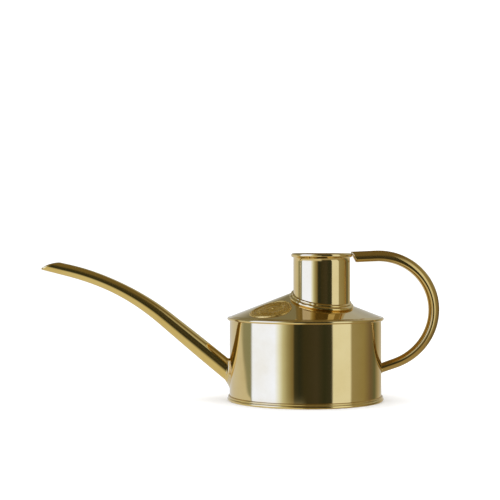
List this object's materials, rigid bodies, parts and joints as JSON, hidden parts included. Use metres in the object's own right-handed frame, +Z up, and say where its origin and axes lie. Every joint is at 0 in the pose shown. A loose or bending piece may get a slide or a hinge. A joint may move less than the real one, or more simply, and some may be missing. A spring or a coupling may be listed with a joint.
{
  "type": "watering can",
  "caption": "Small polished brass indoor watering can with a round tank, offset filler neck, long thin curved spout and looped tube handle.",
  "frame": {"origin": "centre of the foot ring on the surface the can stands on", "axes": "+Z up, -X towards the spout, +X towards the handle, -Y towards the badge side"},
  "size_m": [0.2825, 0.1114, 0.1065],
  "materials": {
    "brass": "mirror polished sheet brass",
    "badge": "pressed relief, darker in the hollows",
    "wire": "plain drawn wire",
    "solder": "dull soft solder",
    "brass_solder": "smoothed and polished solder bead"
  },
  "bodies": {
    "root": {"body_wall": "brass", "base_disc": "brass", "shoulder_cone": "brass", "neck_tube": "brass", "rim_wire": "wire", "neck_collar": "brass", "neck_joint_solder": "solder", "spout_tube": "brass", "spout_flare": "brass", "handle_tube": "brass", "handle_foot_solder": "brass_solder", "handle_head_solder": "brass_solder", "badge_plate": "badge", "badge_solder": "brass_solder", "base_seam_solder": "solder", "shoulder_seam_solder": "solder", "wall_seam_solder": "solder"}
  },
  "joints": []
}
